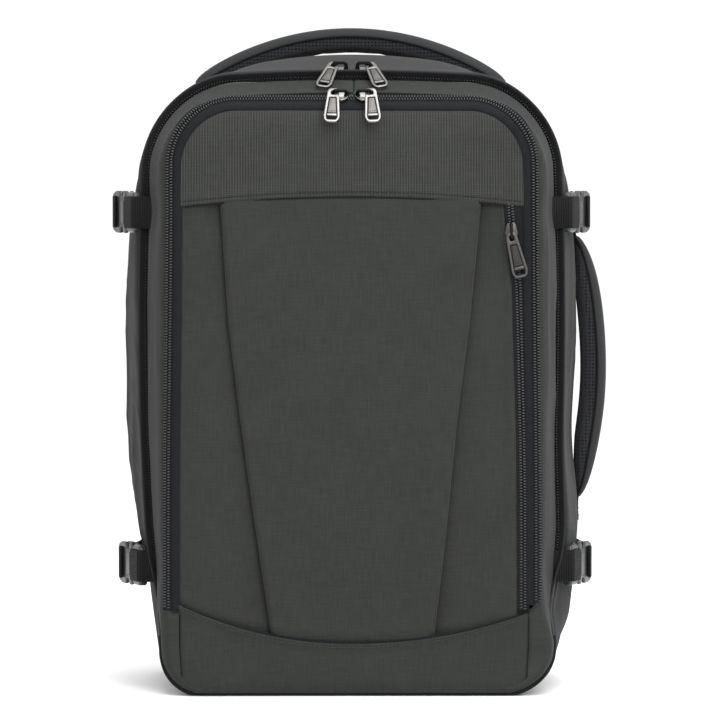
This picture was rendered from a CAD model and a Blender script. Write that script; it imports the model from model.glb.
"""Travel backpack: the looks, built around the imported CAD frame.

Lengths are in millimetres until a mesh is made.
"""
import math

import bmesh
import bpy
import numpy as np
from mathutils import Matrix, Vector


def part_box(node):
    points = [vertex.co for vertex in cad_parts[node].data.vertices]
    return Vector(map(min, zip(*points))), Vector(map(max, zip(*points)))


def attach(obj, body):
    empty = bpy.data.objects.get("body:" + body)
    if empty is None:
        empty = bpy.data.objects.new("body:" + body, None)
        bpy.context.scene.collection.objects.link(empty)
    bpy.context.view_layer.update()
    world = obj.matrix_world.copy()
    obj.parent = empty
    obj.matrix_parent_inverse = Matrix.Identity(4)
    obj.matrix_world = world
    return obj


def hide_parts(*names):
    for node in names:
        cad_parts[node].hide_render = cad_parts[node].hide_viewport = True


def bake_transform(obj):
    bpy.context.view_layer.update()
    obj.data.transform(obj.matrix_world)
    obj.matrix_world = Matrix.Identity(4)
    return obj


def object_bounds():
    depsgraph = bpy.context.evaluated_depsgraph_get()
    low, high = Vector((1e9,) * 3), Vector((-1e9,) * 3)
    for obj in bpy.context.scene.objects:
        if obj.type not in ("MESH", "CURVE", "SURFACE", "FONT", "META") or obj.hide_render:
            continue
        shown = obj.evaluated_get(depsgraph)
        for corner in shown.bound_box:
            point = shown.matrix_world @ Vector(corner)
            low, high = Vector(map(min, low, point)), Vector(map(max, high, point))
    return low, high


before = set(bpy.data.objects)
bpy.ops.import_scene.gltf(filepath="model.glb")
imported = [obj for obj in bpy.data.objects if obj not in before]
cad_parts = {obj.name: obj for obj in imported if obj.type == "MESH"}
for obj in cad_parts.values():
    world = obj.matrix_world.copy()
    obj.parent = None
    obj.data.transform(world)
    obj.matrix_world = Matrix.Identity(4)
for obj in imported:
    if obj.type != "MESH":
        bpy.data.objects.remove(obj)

cad_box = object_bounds()
MM = 0.001
SIDES = ((-1, "left"), (1, "right"))

# ------------------------------------------------------------------ the bag's form, as in the CAD part

STATIONS = np.array([  # depth, half-width, top, bottom, top radius, low radius, crown, waist
    (-120, 144, 468, 4, 54, 30, 2, 1), (-105, 144, 468, 4, 54, 30, 2, 1),
                     (-103, 147.5, 468, 2.5, 56, 31, 2, 1.5),
    (-98, 150.5, 467, 0.8, 57, 32, 2, 2), (-90, 153, 466.5, 0, 58, 33, 3, 3),
                     (-58, 162.5, 481.5, 0, 65, 34, 8, 8),
    (-50, 165, 484, 0, 68, 34, 8, 9), (-10, 175, 495.5, 0, 98, 36, 22, 15),
                     (30, 179, 499.5, 0, 110, 36, 32, 19),
    (62, 176.5, 495, 0, 110, 36, 31, 17), (88, 169, 487, 3, 104, 34, 27, 14),
                     (110, 162, 480, 6, 98, 32, 24, 12)], float)
WIDEST_Z, WAIST_SPAN = 290, 215
ZIP_LINE = np.array([(-20, -101), (20, -93), (42, -84), (70, -71), (100, -62), (130, -57), (200, -55),
                     (600, -55)], float)
REAR_Y = 88
SHOULDER_Z, SHOULDER_RADIUS = 431, 45
POCKET = {"half": 141.6, "top": 463.3, "radius": 51}
STRAPS = (("upper", 375), ("lower", 98))
LID_BLEND = ((0, -105, 18), (0, -105, 40))
FLAP_BLEND = ((0, -106, 64), (0, -106, 86))


def smooth(a, b, v):
    t = np.clip((v - a) / (b - a), 0, 1)
    return t * t * (3 - 2 * t)


def mix(a, b, t):
    return a + (b - a) * t


def station(y):
    """The outline's numbers at depths y, by a cubic through the stations."""
    y = np.asarray(y, float)
    at = STATIONS[:, 0]
    slope = np.gradient(STATIONS, axis=0) / np.gradient(at)[:, None]
    k = np.clip(np.searchsorted(at, y) - 1, 0, len(at) - 2)
    gap = at[k + 1] - at[k]
    t = (np.clip(y, at[0], at[-1]) - at[k]) / gap
    out = []
    for c in range(1, 8):
        p, q, m, n = STATIONS[k, c], STATIONS[k + 1, c], slope[k, c] * gap, slope[k + 1, c] * gap
        cubic = p + t * (m + t * (3 * (q - p) - 2 * m - n + t * (m + n - 2 * (q - p))))
        out.append(mix(p + (q - p) * t, cubic, 0.7))
    return out


def right_swell(x, y, z):
    """The bag stands a little lopsided: its lower right side swells more than its left one."""
    behind = 16 * smooth(215, 85, z) * (0.1 + 0.9 * smooth(0, 60, z)) * smooth(-105, -10, y) * smooth(102,
            52, y)
    corner = 8 * smooth(70, 35, z) * smooth(-15, 30, z) * smooth(-20, -80, y)
    return (behind + corner) * smooth(40, 120, x)


def outline(y, u):
    """Point on the bag's skin at depth y.

    u runs from 0 at the bottom's middle to 1 at the top's middle; negative is the left side.
    """
    y, u = np.broadcast_arrays(np.asarray(y, float), np.asarray(u, float))
    half, top, bottom, high, low, crown, waist = station(y)
    part = [np.clip((np.abs(u) - a) / (b - a), 0, 1) for a,
            b in ((0, .15), (.15, .22), (.22, .68), (.68, .84), (.84, 1))]
    a, b = part[1] * math.pi / 2, part[3] * math.pi / 2
    x = (half - low) * part[0] + low * np.sin(a) - high * (1 - np.cos(b)) - (half - high) * part[4]
    z = bottom + low * (1 - np.cos(a)) + (top - high - crown - bottom - low) * part[2] + high * np.sin(b)
    z = z + np.where(part[2] >= 1, crown * (1 - (x / half) ** 2), 0)
    x = x * (1 - waist / half * ((z - WIDEST_Z) / WAIST_SPAN) ** 2)
    x = x + np.where(u > 0, right_swell(x, y, z), 0)
    return np.stack([np.sign(u) * x, y, z], -1)


def split_y(z):
    return np.interp(z, ZIP_LINE[:, 0], ZIP_LINE[:, 1])


def front_y(x, z):
    bulge = 7 * np.maximum(0,
                           1 - (x / 146) ** 2) * np.sin(np.pi * np.clip((z - 60) / (SHOULDER_Z - 60), 0, 1))
    climb = np.clip(z - SHOULDER_Z, 0, SHOULDER_RADIUS * 0.85)
    return -105 - bulge + SHOULDER_RADIUS - np.sqrt(SHOULDER_RADIUS ** 2 - climb ** 2)


def front_point(x, z, lift=0.0):
    """Point on the front face, lifted off it along its normal."""
    x, z, lift = np.broadcast_arrays(np.asarray(x, float), np.asarray(z, float), np.asarray(lift, float))
    n = front_normal(x, z)
    return np.stack([x, front_y(x, z), z], -1) + n * lift[..., None]


def front_normal(x, z):
    n = np.stack([front_y(x + 1, z) - front_y(x - 1, z), np.full(np.shape(x), -2.0),
                  front_y(x, z + 1) - front_y(x, z - 1)], -1)
    return n / np.linalg.norm(n, axis=-1, keepdims=True)


def lattice(i, seed):
    """A fixed value from 0 to 1 for each whole-number cell."""
    h = (i[..., 0] * 73856093) ^ (i[..., 1] * 19349663) ^ (i[..., 2] * 83492791) ^ (seed * 2654435761)
    h = (h ^ (h >> 13)) * 1274126177 & 0xFFFFFFFF
    return ((h ^ (h >> 16)) & 0xFFFF) / 65535.0


def noise(p, size, seed=0):
    """Smooth noise from -1 to 1 over points; size is the cell in mm, one number or three."""
    q = np.asarray(p, float) / np.asarray(size, float)
    i = np.floor(q).astype(np.int64)
    f = q - i
    f = f * f * (3 - 2 * f)
    total = 0
    for corner in np.ndindex(2, 2, 2):
        c = np.array(corner)
        total = total + lattice(i + c, seed) * np.prod(np.where(c, f, 1 - f), axis=-1)
    return 2 * total - 1


def crease(p, size, seed=0):
    """Sharp-ridged noise from 0 to 1: fabric folds."""
    return (1 - np.abs(noise(p, size, seed))) ** 3


# ------------------------------------------------------------------ meshes

def make(name, body, verts, faces, materials, which=None, flat=False, uv=None, replaces=(), slot=None,
         blend=None):
    """A mesh object from points in mm.

    faces is a list of index arrays with 3 or 4 columns, and which gives each array's material number.
    """
    mesh = bpy.data.meshes.new(name)
    rows = [r for f in faces for r in np.asarray(f).tolist()]
    mesh.from_pydata((np.asarray(verts, float) * MM).tolist(), [], rows)
    for m in materials if isinstance(materials, (list, tuple)) else [materials]:
        mesh.materials.append(m)
    if which is not None:
        mesh.polygons.foreach_set("material_index",
                np.concatenate([np.full(len(f), w) for f, w in zip(faces, which)]).astype(np.int32))
    if uv is not None:
        loops = np.empty(len(mesh.loops), np.int32)
        mesh.loops.foreach_get("vertex_index", loops)
        layer = mesh.uv_layers.new(name="weave")
        layer.data.foreach_set("uv", (np.asarray(uv, float)[loops] * MM).astype(np.float32).ravel())
    mesh.polygons.foreach_set("use_smooth", np.full(len(mesh.polygons), not flat))
    mesh.update()
    obj = bpy.data.objects.new(name, mesh)
    bpy.context.scene.collection.objects.link(obj)
    settle(obj, body, replaces, blend)
    return obj


def settle(obj, body, replaces=(), blend=None):
    if blend:
        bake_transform(obj)
    elif body:
        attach(obj, body)
    if replaces:
        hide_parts(*([replaces] if isinstance(replaces, str) else replaces))


def grid_faces(rows, cols, wrap=False, start=0):
    i = np.arange(rows - 1)[:, None] * cols
    j = np.arange(cols if wrap else cols - 1)[None, :]
    k = (j + 1) % cols
    return np.stack([i + j, i + k, i + cols + k, i + cols + j], -1).reshape(-1, 4) + start


def grid_normals(p, wrap=False):
    if wrap:
        ring = np.concatenate([p[:, -1:], p, p[:, :1]], 1)
        across = (ring[:, 2:] - ring[:, :-2])
    else:
        across = np.gradient(p, axis=1)
    n = np.cross(across, np.gradient(p, axis=0))
    return n / np.maximum(np.linalg.norm(n, axis=-1, keepdims=True), 1e-9)


def sheet_parts(p, thick, wrap=False):
    """Closed sheet under the grid p: its points, and its faces on the outside, the inside and the rim."""
    rows, cols = p.shape[:2]
    n = grid_normals(p, wrap)
    verts = np.concatenate([p.reshape(-1, 3), (p - n * thick).reshape(-1, 3)])
    outer = grid_faces(rows, cols, wrap)
    inner = outer[:, ::-1] + rows * cols
    if wrap:
        edges = [(np.arange(cols), 1), (np.arange(cols) + (rows - 1) * cols, -1)]
        rim = []
        for line, way in edges:
            a, b = line, np.roll(line, -1)
            rim.append(np.stack([b, a, a + rows * cols, b + rows * cols], -1)[:, ::way])
        rim = np.concatenate(rim)
    else:
        loop = np.concatenate([np.arange(cols - 1), np.arange(rows - 1) * cols + cols - 1,
                               np.arange(cols - 1, 0, -1) + (rows - 1) * cols,
                               np.arange(rows - 1, 0, -1) * cols])
        a, b = loop, np.roll(loop, -1)
        rim = np.stack([b, a, a + rows * cols, b + rows * cols], -1)
    return verts, outer, inner, rim


def sheet(name, body, p, thick, material, inside=None, uv=None, wrap=False, **how):
    """Closed sheet of fabric whose outer face is the grid p."""
    verts, outer, inner, rim = sheet_parts(p, thick, wrap)
    if uv is None:
        step_u = np.linalg.norm(np.diff(p, axis=1, prepend=p[:, :1]), axis=-1)
        step_v = np.linalg.norm(np.diff(p, axis=0, prepend=p[:1]), axis=-1)
        uv = np.stack([np.cumsum(step_u, 1).mean(0)[None, :].repeat(len(p), 0), np.cumsum(step_v, 0)], -1)
    uv = np.concatenate([uv.reshape(-1, 2)] * 2)
    return make(name, body, verts, [outer, inner, rim], [material, inside or material], [0, 1, 0], uv=uv,
                **how)


def resample(path, step):
    """The path at even steps along its length."""
    d = np.concatenate([[0], np.cumsum(np.linalg.norm(np.diff(path, axis=0), axis=1))])
    s = np.linspace(0, d[-1], max(2, int(round(d[-1] / step)) + 1))
    return np.stack([np.interp(s, d, path[:, k]) for k in range(path.shape[1])], -1)


def unit(v):
    return v / np.maximum(np.linalg.norm(v, axis=-1, keepdims=True), 1e-9)


def frames_of(path, normal):
    """Unit tangent, side and normal along a path; side is to the left of the tangent seen from outside."""
    t = unit(np.gradient(path, axis=0))
    n = unit(normal - t * np.sum(normal * t, -1, keepdims=True))
    return t, np.cross(n, t), n


def stamp(path, frame3, verts, faces):
    """A copy of a small mesh at each point of a path, its X along the path, Y to the side and Z out."""
    t, s, n = frame3
    v = np.asarray(verts, float)
    points = (path[:, None] + t[:, None] * v[None, :, :1] + s[:, None] * v[None, :, 1:2]
              + n[:, None] * v[None, :, 2:3])
    shift = (np.arange(len(path)) * len(v))[:, None, None]
    return points.reshape(-1, 3), [(np.asarray(f)[None] + shift).reshape(-1, len(f[0])) for f in faces]


def bead(length, width, height, sides=6, rings=(0.0, 0.16, 0.84, 1.0), swell=(0.35, 1, 1, 0.35), axis=0):
    """A small capsule along one axis."""
    a = np.arange(sides) * 2 * math.pi / sides
    rows = []
    for r, k in zip(rings, swell):
        row = np.stack([np.full(sides, (r - 0.5) * length), k * width / 2 * np.cos(a),
                        k * height / 2 * np.sin(a)], -1)
        rows.append(row)
    p = np.array(rows)
    if axis == 1:
        p = p[..., [1, 0, 2]] * [-1, 1, 1]
    faces = grid_faces(len(rings), sides, True)
    caps = np.array([range(sides)])
    return p.reshape(-1, 3), [faces, caps[:, ::-1], caps + (len(rings) - 1) * sides]


def ribbon(path, frame3, profile):
    """Strip along a path: the profile is (side, out) points, closed."""
    _, s, n = frame3
    pr = np.asarray(profile, float)
    return path[:, None] + s[:, None] * pr[None, :, :1] + n[:, None] * pr[None, :, 1:2]


def strip(name, body, path, frame3, profile, material, **how):
    """Closed solid with an even cross-section along a path."""
    p = ribbon(path, frame3, profile)
    rows, cols = p.shape[:2]
    d = np.cumsum(np.linalg.norm(np.diff(path, axis=0, prepend=path[:1]), axis=1))
    around = np.cumsum(np.linalg.norm(np.diff(profile, axis=0, prepend=profile[:1]), axis=1))
    uv = np.stack(np.broadcast_arrays(around[None, :], d[:, None]), -1).reshape(-1, 2)
    caps = np.array([range(cols)])
    faces = [grid_faces(rows, cols, True)[:, ::-1], caps, (caps + (rows - 1) * cols)[:, ::-1]]
    return make(name, body, p.reshape(-1, 3), faces, material, uv=uv, **how)


def pad_profile(left, right, low, high, crown=0.4):
    """Flat band from left to right with a slightly rounded top."""
    xs = np.linspace(left, right, 7)
    k = 1 - (2 * (xs - left) / (right - left) - 1) ** 2
    return np.array([(left, low)] + [(x, high - crown + crown * c) for x, c in zip(xs, k)]
                    + [(right, low)])[::-1]


def stitches(name, body, path, normal, material, pitch=3.3, length=2.4, thick=0.75, **how):
    p = resample(path, pitch)
    n = np.stack([np.interp(np.linspace(0, 1, len(p)), np.linspace(0, 1, len(path)), normal[:, k])
                  for k in range(3)], -1)
    verts, faces = bead(length, thick, thick * 0.8, 5)
    points, rows = stamp(p, frames_of(p, n), verts, faces)
    return make(name, body, points, rows, material, **how)


# ------------------------------------------------------------------ materials

class Graph:
    """A material's nodes, with short calls to add and join them."""

    def __init__(self, name, colour, rough, metal=0.0, **sockets):
        self.material = bpy.data.materials.new(name)
        self.material.use_nodes = True
        self.tree = self.material.node_tree
        self.shader = self.tree.nodes["Principled BSDF"]
        self.material.diffuse_color = (*colour, 1)
        self.set("Base Color", (*colour, 1))
        self.set("Roughness", rough)
        self.set("Metallic", metal)
        for key, value in sockets.items():
            self.set(key.replace("_", " "), value)

    def set(self, socket, value):
        if isinstance(value, bpy.types.NodeSocket):
            self.tree.links.new(value, self.shader.inputs[socket])
        else:
            self.shader.inputs[socket].default_value = value

    def node(self, kind, inputs=(), out=0, **props):
        n = self.tree.nodes.new(kind)
        for key, value in props.items():
            setattr(n, key, value)
        for key, value in dict(inputs).items():
            if isinstance(value, bpy.types.NodeSocket):
                self.tree.links.new(value, n.inputs[key])
            else:
                n.inputs[key].default_value = value
        return n.outputs[out]

    def math(self, how, a, b=0.0):
        return self.node("ShaderNodeMath", {0: a, 1: b}, operation=how)

    def place(self, uv):
        if uv:
            return self.node("ShaderNodeUVMap", uv_map="weave")
        return self.node("ShaderNodeTexCoord", out=3)

    def noise(self, size_mm, detail=2.0, uv=False):
        return self.node("ShaderNodeTexNoise",
                         {"Vector": self.place(uv), "Scale": 1000 / size_mm, "Detail": detail})

    def tint(self, factor, dark, light):
        return self.node("ShaderNodeMix", {0: factor, 6: (*dark, 1), 7: (*light, 1)}, 2, data_type="RGBA")

    def bump(self, height, strength, depth_mm):
        self.set("Normal", self.node("ShaderNodeBump",
                                     {"Height": height, "Strength": strength, "Distance": depth_mm * MM}))


def shade(colour, k):
    return tuple(min(1.0, c * k) for c in colour)


def waves(g, place, period_mm, way):
    """Sine ridges across a direction of the surface: (1, 0), (0, 1) or (1, 1)."""
    parts = g.tree.nodes.new("ShaderNodeSeparateXYZ")
    g.tree.links.new(place, parts.inputs[0])
    along = g.math("ADD", g.math("MULTIPLY", parts.outputs[0], way[0]),
                   g.math("MULTIPLY", parts.outputs[1], way[1]))
    return g.math("SINE", g.math("MULTIPLY", along, 2 * math.pi * 1000 / period_mm))


def woven(name, colour, period=1.7, yarns=None, contrast=0.5, depth=0.25, rough=0.86, sheen=0.05, patch=0.14):
    """Woven cloth with crossed yarns, slight slubs and uneven patches. yarns are (way, period, share)."""
    g = Graph(name, colour, rough, Sheen_Weight=sheen, Sheen_Roughness=0.4, Specular_IOR_Level=0.14)
    place = g.place(True)
    warp = g.node("ShaderNodeTexNoise",
            {"Vector": g.node("ShaderNodeMapping", {"Vector": place, "Scale": (900.0, 60.0, 1.0)}),
             "Scale": 1.0, "Detail": 2.0})
    weft = g.node("ShaderNodeTexNoise",
            {"Vector": g.node("ShaderNodeMapping", {"Vector": place, "Scale": (60.0, 900.0, 1.0)}),
             "Scale": 1.0, "Detail": 2.0})
    height = g.math("ADD", g.math("MULTIPLY", warp, 0.8), g.math("MULTIPLY", weft, 0.6))
    for way, size, share in yarns or (((1, 1), period, 0.3), ((1, -1), period, 0.3)):
        height = g.math("ADD", height, g.math("MULTIPLY", waves(g, place, size, way), share))
    large = g.noise(38, 3.0)
    value = g.math("ADD", g.math("MULTIPLY", g.math("SUBTRACT", height, 0.7), contrast),
                   g.math("MULTIPLY", large, patch))
    g.set("Base Color", g.tint(g.math("ADD", value, 0.5 - patch / 2), shade(colour, 0.3), shade(colour, 1.7)))
    g.set("Roughness", g.math("ADD", g.math("MULTIPLY", warp, 0.14), rough - 0.07))
    g.bump(height, 0.7, depth)
    return g.material


def ribbed(name, colour, period, way, contrast=0.4, depth=0.3, rough=0.72, specular=0.16):
    """Webbing or zip tape: clear ribs with finer yarns across them."""
    g = Graph(name, colour, rough, Sheen_Weight=0.03, Specular_IOR_Level=specular)
    place = g.place(True)
    rib = waves(g, place, period, way)
    fine = waves(g, place, period * 0.8, (way[1], way[0]))
    height = g.math("ADD", g.math("MULTIPLY", rib, 0.5), g.math("MULTIPLY", fine, 0.35))
    level = g.math("ADD", g.math("MULTIPLY", height, contrast), g.math("MULTIPLY", g.noise(9, 2.0), 0.3))
    g.set("Base Color", g.tint(g.math("ADD", level, 0.35), shade(colour, 0.5), shade(colour, 1.9)))
    g.set("Roughness", g.math("ADD", g.math("MULTIPLY", g.noise(3, 2.0), 0.2), rough - 0.1))
    g.bump(height, 0.7, depth)
    return g.material


def spacer(name, colour, cell=3.0, depth=0.7):
    """Air mesh: small dark holes between raised threads."""
    g = Graph(name, colour, 0.85, Sheen_Weight=0.04, Specular_IOR_Level=0.12)
    place = g.place(False)
    cells = g.node("ShaderNodeTexVoronoi", {"Vector": place, "Scale": 1000 / cell, "Randomness": 0.12},
                   out=0, feature="F1")
    wall = g.node("ShaderNodeMapRange", {"Value": cells, "From Min": 0.15, "From Max": 0.42}, out=0)
    level = g.math("ADD", g.math("MULTIPLY", wall, 0.8), g.math("MULTIPLY", g.noise(20, 2.0), 0.25))
    g.set("Base Color", g.tint(level, shade(colour, 0.15), shade(colour, 2.0)))
    g.set("Roughness", g.math("ADD", g.math("MULTIPLY", wall, 0.1), 0.78))
    g.bump(wall, 0.8, depth)
    return g.material


def moulded(name, colour, rough=0.42, grain=0.5, wear=0.35):
    g = Graph(name, colour, rough, Specular_IOR_Level=0.5)
    fine = g.noise(grain, 3.0)
    large = g.noise(14, 3.0)
    g.set("Base Color", g.tint(g.math("ADD", g.math("MULTIPLY", large, wear), 0.3), shade(colour, 0.75),
                               shade(colour, 1.4)))
    g.set("Roughness", g.math("ADD", g.math("MULTIPLY", large, 0.22), rough - 0.1))
    g.bump(fine, 0.25, 0.06)
    return g.material


def plated(name, colour, rough=0.26):
    g = Graph(name, colour, rough, 1.0)
    large = g.noise(5, 3.0)
    g.set("Base Color", g.tint(large, shade(colour, 0.75), shade(colour, 1.25)))
    g.set("Roughness", g.math("ADD", g.math("MULTIPLY", g.noise(1.2, 3.0), 0.2), rough - 0.08))
    g.bump(g.noise(0.9, 2.0), 0.12, 0.05)
    return g.material


MAIN = (0.0205, 0.0219, 0.0204)
FABRIC = woven("fabric_main", MAIN, contrast=0.64, patch=0.18, depth=0.3)
YOKE = woven("fabric_yoke", (0.0232, 0.0243, 0.0227), yarns=(((1, 0), 2.1, 0.36), ((0, 1), 1.6, 0.14)),
             contrast=0.62, depth=0.3)
BASE = woven("fabric_base", (0.015, 0.0158, 0.0158), 1.5)
LINING = woven("lining_cloth", (0.055, 0.057, 0.06), 0.9, contrast=0.25, depth=0.1, rough=0.7)
TAPE = ribbed("zip_tape_cloth", (0.0052, 0.0054, 0.0062), 1.1, (0, 1), 0.25, 0.2, specular=0.1)
BINDING = ribbed("binding_tape", (0.0055, 0.0058, 0.0067), 0.9, (0, 1), 0.2, 0.1, 0.75, 0.08)
WEB = ribbed("webbing_weave", (0.0052, 0.0053, 0.0057), 1.9, (0, 1), 0.8, 0.5, specular=0.09)
MESH_CLOTH = spacer("air_mesh_cloth", (0.012, 0.0122, 0.0135), 2.8)
COIL = moulded("zip_coil", (0.0105, 0.0108, 0.012), 0.34, 0.4)
MAIN_COIL = moulded("main_zip_coil", (0.024, 0.0246, 0.0265), 0.32, 0.4)
MAIN_TAPE = ribbed("main_tape_cloth", (0.0102, 0.0105, 0.0117), 1.1, (0, 1), 0.25, 0.2, specular=0.12)
PLASTIC = moulded("buckle_plastic", (0.0165, 0.017, 0.018), 0.3)
BOARD = moulded("stiffener_board", (0.02, 0.02, 0.021), 0.5, 1.2)
METAL = plated("gunmetal", (0.2, 0.195, 0.188), 0.33)
PANEL_METAL = plated("brushed_gunmetal", (0.105, 0.1, 0.097), 0.44)
SIDE_METAL = plated("smoked_metal", (0.068, 0.066, 0.064), 0.33)
SIDE_PANEL_METAL = plated("smoked_panel", (0.036, 0.035, 0.034), 0.44)
DARK_METAL = plated("black_nickel", (0.012, 0.012, 0.0123), 0.42)
THREAD = ribbed("thread", (0.022, 0.023, 0.022), 0.7, (1, 0), 0.2, 0.1)
DARK_THREAD = ribbed("dark_thread", (0.007, 0.007, 0.0078), 0.7, (1, 0), 0.2, 0.1)

# ------------------------------------------------------------------ body fabric

def skin_relief(p, n):
    """Soft folds of the side and top fabric: it sags between the straps and is drawn in under them."""
    y, z = p[..., 1], p[..., 2]
    side = smooth(0.35, 0.8, np.abs(n[..., 0]))
    top = smooth(0.5, 0.9, n[..., 2])
    drawn = sum(np.exp(-((z - strap) / 24.0) ** 2) for _, strap in STRAPS) * smooth(-95, -60,
            y) * smooth(70, 20, y)
    hang = side * smooth(60, 120, z) * smooth(440, 380, z)
    lift = -2.2 * drawn * side + hang * 2.6 * noise(p, (60, 55, 95), 3)
    lift += hang * 2.8 * (crease(p + [0, 0, 0.5] * p[..., 1:2], (300, 34, 120), 11) - 0.25)
    lift += hang * 1.3 * (crease(p - [0, 0, 0.8] * p[..., 1:2], (300, 60, 46), 12) - 0.25)
    lift += top * 1.2 * noise(p, (70, 60, 60), 5)
    return lift * smooth(0, 10, p[..., 1] - split_y(z)) * smooth(REAR_Y, REAR_Y - 14, y)


def zip_slant(z):
    """How far the main zip is turned to the front: fully, but for the lower corners."""
    return smooth(62, 125, z)


def rear_skin():
    """The body behind the main zip, sewn from an upper panel and a base panel."""
    loop = np.concatenate([np.linspace(0.0005, 0.9995, 330), -np.linspace(0.9995, 0.0005, 330)])
    v = np.linspace(0, 1, 52)[:, None]
    level = outline(-55, loop)[:, 2]
    start = split_y(level) + mix(2.6, 3.4, zip_slant(level))
    y = mix(start[None, :], REAR_Y, v ** 1.25)
    p = outline(y, loop[None, :])
    n = -grid_normals(p, True)
    swell = zip_slant(level)[None,
            :] * (4.0 * np.exp(-(y - start[None, :]) / 16.0) - 1.3 * np.exp(-(y - start[None, :]) / 1.6))
    p = p + n * (skin_relief(p, n) + swell)[..., None]
    p = p[::-1]
    uv = np.stack([np.broadcast_to(np.abs(loop) * 830, p.shape[:2]), p[..., 1]], -1)
    return sheet("body_upper", "root", p, 2.4, FABRIC, LINING, uv, True), sheet("body_base", "root", p, 2.4,
            BASE, LINING, uv, True)


SIDE_SEAM = {"z": 121.0, "slope": -0.09}


def cut(obj, keep_above):
    """Keeps the part of a sheet above or below the side seam."""
    mesh = bmesh.new()
    mesh.from_mesh(obj.data)
    way = 1 if keep_above else -1
    edges = mesh.verts[:] + mesh.edges[:] + mesh.faces[:]
    level = SIDE_SEAM["z"] * MM
    bmesh.ops.bisect_plane(mesh, geom=edges, plane_co=(0, 0, level),
                           plane_no=(0, -way * SIDE_SEAM["slope"], way), clear_inner=True)
    open_edges = [e for e in mesh.edges if e.is_boundary]
    bmesh.ops.holes_fill(mesh, edges=open_edges, sides=0)
    bmesh.ops.triangulate(mesh, faces=[f for f in mesh.faces if len(f.verts) > 4])
    mesh.to_mesh(obj.data)
    mesh.free()


upper_skin, base_skin = rear_skin()
cut(upper_skin, True)
cut(base_skin, False)
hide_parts("rear_gusset")
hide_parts("base_tray")


def skin_at(y, u):
    """Points and outward normals on the skin with its folds."""
    p = outline(y, u)
    dy = outline(y + 1, u) - outline(y - 1, u)
    du = outline(y, u + 0.001 * np.sign(u)) - outline(y, u - 0.001 * np.sign(u))
    n = unit(np.cross(du, dy) * np.sign(u)[..., None])
    return p + n * skin_relief(p, n)[..., None], n


def zip_path(low_z, offset=0.0):
    """The main zip's line from its lower left end over the top to the lower right, with outward normals."""
    u = np.concatenate([-np.linspace(0.2, 0.9999, 500), np.linspace(0.9999, 0.2, 500)])
    z = outline(-55, u)[:, 2]
    y = split_y(z) + offset
    p = outline(y, u)
    n = unit(skin_at(y, u)[1] + [0, -1.0, 0] * zip_slant(z)[:, None])
    p = p + n * (2.2 * zip_slant(z))[:, None]
    keep = p[:, 2] > low_z
    return p[keep], n[keep]


def even(path, normal, step):
    """Path and normals at even steps."""
    both = resample(np.concatenate([path, normal], 1) * [1, 1, 1, 0.01, 0.01, 0.01], step)
    return both[:, :3], unit(both[:, 3:])


# ------------------------------------------------------------------ zips

COIL_PITCH = 2.2


def zip_half(name, path, normal, way, body, cloth, tape_to=3.6, slot=None, replaces=(), blend=None,
             lift=0.9, coil=None):
    """One half of a coil zip: coil loops beside the line, on a strip of tape. way is 1 or -1 for the side."""
    p, n = even(path, normal, 3.0)
    profile = pad_profile(0.35, tape_to, lift - 1.5, lift, 0.15)
    if way < 0:
        profile = profile[::-1] * [-1, 1]
    strip(name + "_tape", body, p, frames_of(p, n), profile, cloth, slot=slot, replaces=replaces, blend=blend)
    p, n = even(path, normal, COIL_PITCH)
    shift = 0.5 * COIL_PITCH if way > 0 else 0.0
    t, s, n = frames_of(p, n)
    p = p + t * shift + s * (way * 1.4) + n * (lift + 0.6)
    verts, faces = bead(2.7, 1.25, 1.5, 6, axis=1)
    points, rows = stamp(p[1:-1], (t[1:-1], s[1:-1], n[1:-1]), verts, faces)
    make(name + "_coil", body, points, rows, coil or COIL, slot=slot, blend=blend)


def spread(z):
    """The cover widens a little downwards."""
    return 1 + 0.018 * smooth(400, 110, z)


def pocket_path(inset=0.0, low_left=67, low_right=73):
    """The pocket zip's U on the front face, from its lower left end to its lower right one, inset inwards."""
    half, top, radius = POCKET["half"] - inset, POCKET["top"] - inset, POCKET["radius"] - inset
    a = np.linspace(math.pi, math.pi / 2, 24)
    left = np.stack([radius - half + radius * np.cos(a), top - radius + radius * np.sin(a)], -1)
    right = left[::-1] * [-1, 1]
    z_left = np.linspace(low_left, top - radius, 80)[:-1]
    z_right = np.linspace(top - radius, low_right, 80)[1:]
    x_mid = np.linspace(radius - half, half - radius, 40)[1:-1]
    line = np.concatenate([np.stack([np.full(79, -half), z_left], -1), left,
                           np.stack([x_mid, np.full(38, top)], -1),
                           right, np.stack([np.full(79, half), z_right], -1)])
    return line * np.stack([spread(line[:, 1]), np.ones(len(line))], -1)


def pocket_line(inset=0.0, lift=0.0, low_left=67, low_right=73):
    line = pocket_path(inset, low_left, low_right)
    return front_point(line[:, 0], line[:, 1], lift), front_normal(line[:, 0], line[:, 1])


path, normal = pocket_line()
zip_half("pocket_zip_bag_side", path, normal, 1, "lid", TAPE, 2.8, "zip_tape", "pocket_zip_outer")
zip_half("pocket_zip_cover_side", path, normal, -1, ("lid", "flap"), TAPE, 8.2, "zip_tape",
         "pocket_zip_inner", FLAP_BLEND)

path, normal = zip_path(40)
zip_half("main_zip_lid_side", path, normal, 1, "lid", MAIN_TAPE, 8.8, "zip_tape", "main_zip_front",
         coil=MAIN_COIL)
zip_half("main_zip_body_side", path, normal, -1, "root", MAIN_TAPE, 5.4, "zip_tape", "main_zip_rear",
         coil=MAIN_COIL)

# ------------------------------------------------------------------ lid: gusset and bottom panel

def low_edge_x(z, side):
    """Half-width of the front panel: the seam under the zip's ends is further in than the zip."""
    return (mix(134.5, 144.2, smooth(64, 70, z)) - 1.5 * smooth(45, 10, z)
            + np.where(side > 0, 3.0, 0) * smooth(70, 60, z))


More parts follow.
